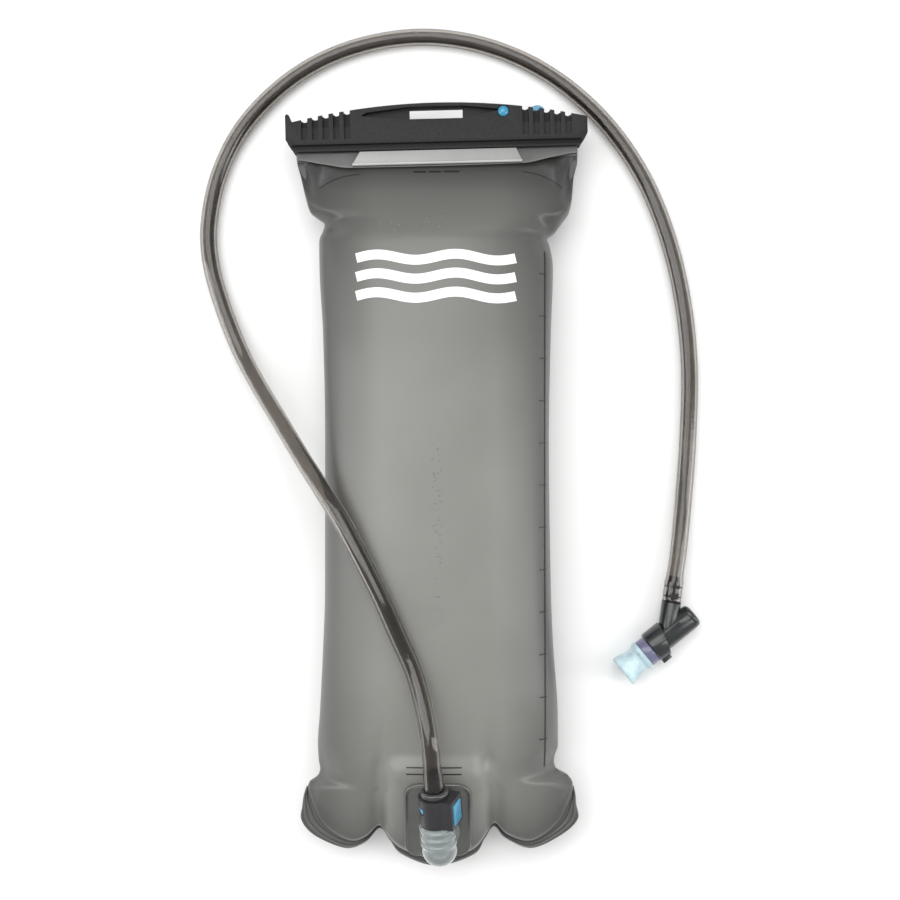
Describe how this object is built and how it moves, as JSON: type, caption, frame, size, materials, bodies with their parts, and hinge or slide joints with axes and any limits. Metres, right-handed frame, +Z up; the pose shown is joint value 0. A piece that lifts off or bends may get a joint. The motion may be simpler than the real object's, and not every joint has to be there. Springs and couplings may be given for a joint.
{
  "type": "hydration bladder",
  "caption": "Filled hydration bladder lying flat, with a slide-off closure rail, plug-on hose port, drink hose and twist-to-close bite valve.",
  "frame": {"origin": "middle of the bag's length and width, on the surface that the filled bag lies on", "axes": "+Z up from that surface, +Y along the bag towards the closure rail, +X across the bag"},
  "size_m": [0.2789, 0.4635, 0.0806],
  "materials": {
    "film": "satin",
    "weld_band": "satin",
    "flap_film": "satin",
    "stiffener": "satin",
    "black_plastic": "satin",
    "blue_plastic": "gloss",
    "clear_plate": "gloss",
    "clear_plastic": "gloss",
    "seal_rubber": "matte",
    "white_plastic": "satin",
    "spring_steel": "satin",
    "hose_tube": "gloss",
    "valve_black": "satin",
    "ring_plastic": "gloss",
    "silicone": "gloss"
  },
  "bodies": {
    "bag": {"front_film": "film", "rear_film": "film", "bottom_weld": "weld_band", "neck_fold": "film", "top_flap": "flap_film", "stiffener_plate": "stiffener", "port_plate": "clear_plate", "port_elbow": "clear_plastic", "port_oring": "seal_rubber", "poppet_cage": "white_plastic", "poppet_spring": "spring_steel"},
    "rail": {"slider": "black_plastic", "tether_button": "blue_plastic", "tether_loop": "blue_plastic"},
    "poppet": {"poppet": "white_plastic"},
    "connector": {"connector_housing": "black_plastic", "connector_insert": "black_plastic", "connector_collar": "black_plastic", "button_spring": "spring_steel", "hose": "hose_tube", "valve_body": "valve_black", "valve_end_cap": "valve_black"},
    "button": {"release_button": "blue_plastic", "latch_plate": "blue_plastic"},
    "valve_twist": {"valve_core": "white_plastic", "core_orings": "seal_rubber", "shutoff_sleeve": "valve_black", "mouthpiece_ring": "ring_plastic", "mouthpiece": "silicone"}
  },
  "joints": [
    {"name": "rail_slide", "type": "slide", "parent": "bag", "child": "rail", "axis": [0.9997, 0.0262, 0], "range_m": [0, 0.165]},
    {"name": "connector_unplug", "type": "slide", "parent": "bag", "child": "connector", "axis": [-0.0777, 0.9483, 0.3077], "range_m": [0, 0.025]},
    {"name": "poppet_lift", "type": "slide", "parent": "bag", "child": "poppet", "axis": [-0.0777, 0.9483, 0.3077], "range_m": [0, 0.003], "deforming": ["poppet_spring"]},
    {"name": "button_press", "type": "slide", "parent": "connector", "child": "button", "axis": [-0.9202, 0.0505, -0.3881], "range_m": [0, 0.0015], "stiffness_N_per_m": 400, "springref_m": -0.002, "deforming": ["button_spring"]},
    {"name": "valve_shutoff", "type": "hinge", "parent": "connector", "child": "valve_twist", "pos_m": [0.1196, -0.091, 0.0095], "axis": [-0.7738, -0.6334, 0], "range_deg": [0, 90]}
  ],
  "couplings": [
    {"joint": "poppet_lift", "follows": "connector_unplug", "ratio": 0.12}
  ]
}
